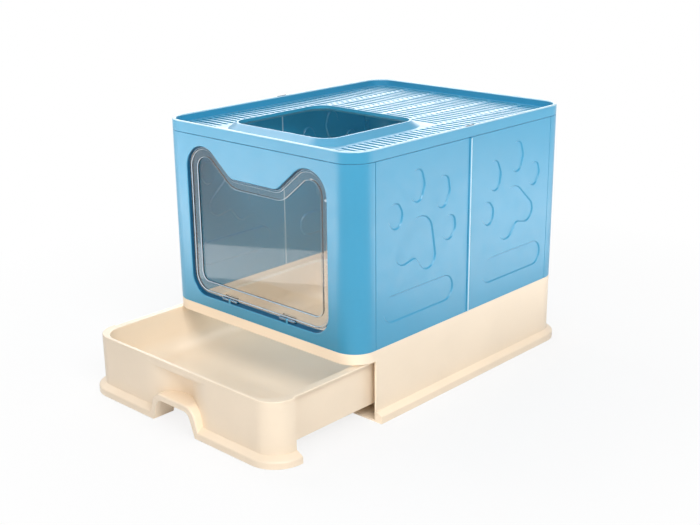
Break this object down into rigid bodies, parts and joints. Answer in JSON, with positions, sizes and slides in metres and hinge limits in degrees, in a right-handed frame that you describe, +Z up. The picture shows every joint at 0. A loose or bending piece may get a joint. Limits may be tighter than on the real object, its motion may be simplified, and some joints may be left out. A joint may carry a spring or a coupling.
{
  "type": "covered cat litter box",
  "caption": "Covered litter box: an open-fronted base with a pull-out litter drawer, a folding hinged hood, a clear cat-ear flap and a slotted lid with a top entry.",
  "frame": {"origin": "on the floor, under the middle of the base's rounded plan", "axes": "+X to the right as seen from the front, +Y to the rear, +Z up; the doorway and the drawer face -Y"},
  "size_m": [0.41, 0.661, 0.3896],
  "materials": {
    "cream_plastic": "fine satin",
    "blue_plastic": "fine satin",
    "pin_plastic": "satin",
    "clear_plastic": "polished clear",
    "white_plastic": "gloss",
    "clip_plastic": "satin"
  },
  "bodies": {
    "base": {"base": "cream_plastic"},
    "drawer": {"drawer": "cream_plastic"},
    "rear_panel": {"rear_panel": "blue_plastic", "left_rear_pin": "pin_plastic", "right_rear_pin": "pin_plastic"},
    "right_rear_panel": {"right_rear_panel": "blue_plastic", "right_middle_pin": "pin_plastic"},
    "right_front_panel": {"right_front_panel": "blue_plastic"},
    "front_panel": {"front_panel": "blue_plastic", "left_front_pin": "pin_plastic", "right_front_pin": "pin_plastic", "left_flap_pin": "pin_plastic", "right_flap_pin": "pin_plastic"},
    "left_rear_panel": {"left_rear_panel": "blue_plastic", "left_middle_pin": "pin_plastic"},
    "left_front_panel": {"left_front_panel": "blue_plastic"},
    "door_flap": {"door_flap": "clear_plastic", "flap_catch": "white_plastic"},
    "lid": {"lid": "blue_plastic", "left_lid_clip": "clip_plastic", "right_lid_clip": "clip_plastic"}
  },
  "joints": [
    {"name": "drawer_slide", "type": "slide", "parent": "base", "child": "drawer", "axis": [0, -1, 0], "range_m": [-0.153, 0.227]},
    {"name": "hood_lift", "type": "slide", "parent": "base", "child": "rear_panel", "axis": [0, 0, 1], "range_m": [0, 0.15]},
    {"name": "lid_lift", "type": "slide", "parent": "rear_panel", "child": "lid", "axis": [0, 0, 1], "range_m": [0, 0.12]},
    {"name": "hood_fold", "type": "hinge", "parent": "rear_panel", "child": "right_rear_panel", "pos_m": [0.19, 0.204, 0.24], "axis": [0, 0, -1], "range_deg": [0, 66]},
    {"name": "right_middle_fold", "type": "hinge", "parent": "right_rear_panel", "child": "right_front_panel", "pos_m": [0.195, 0, 0.24], "axis": [0, 0, 1], "range_deg": [0, 132]},
    {"name": "right_front_fold", "type": "hinge", "parent": "right_front_panel", "child": "front_panel", "pos_m": [0.19, -0.204, 0.24], "axis": [0, 0, -1], "range_deg": [0, 66]},
    {"name": "left_rear_fold", "type": "hinge", "parent": "rear_panel", "child": "left_rear_panel", "pos_m": [-0.19, 0.204, 0.24], "axis": [0, 0, 1], "range_deg": [0, 66]},
    {"name": "left_middle_fold", "type": "hinge", "parent": "left_rear_panel", "child": "left_front_panel", "pos_m": [-0.195, 0, 0.24], "axis": [0, 0, -1], "range_deg": [0, 132]},
    {"name": "flap_hinge", "type": "hinge", "parent": "front_panel", "child": "door_flap", "pos_m": [0, -0.2415, 0.13], "axis": [1, 0, 0], "range_deg": [0, 90]}
  ],
  "couplings": [
    {"joint": "right_middle_fold", "follows": "hood_fold", "ratio": 2},
    {"joint": "right_front_fold", "follows": "hood_fold", "ratio": 1},
    {"joint": "left_rear_fold", "follows": "hood_fold", "ratio": 1},
    {"joint": "left_middle_fold", "follows": "hood_fold", "ratio": 2}
  ]
}
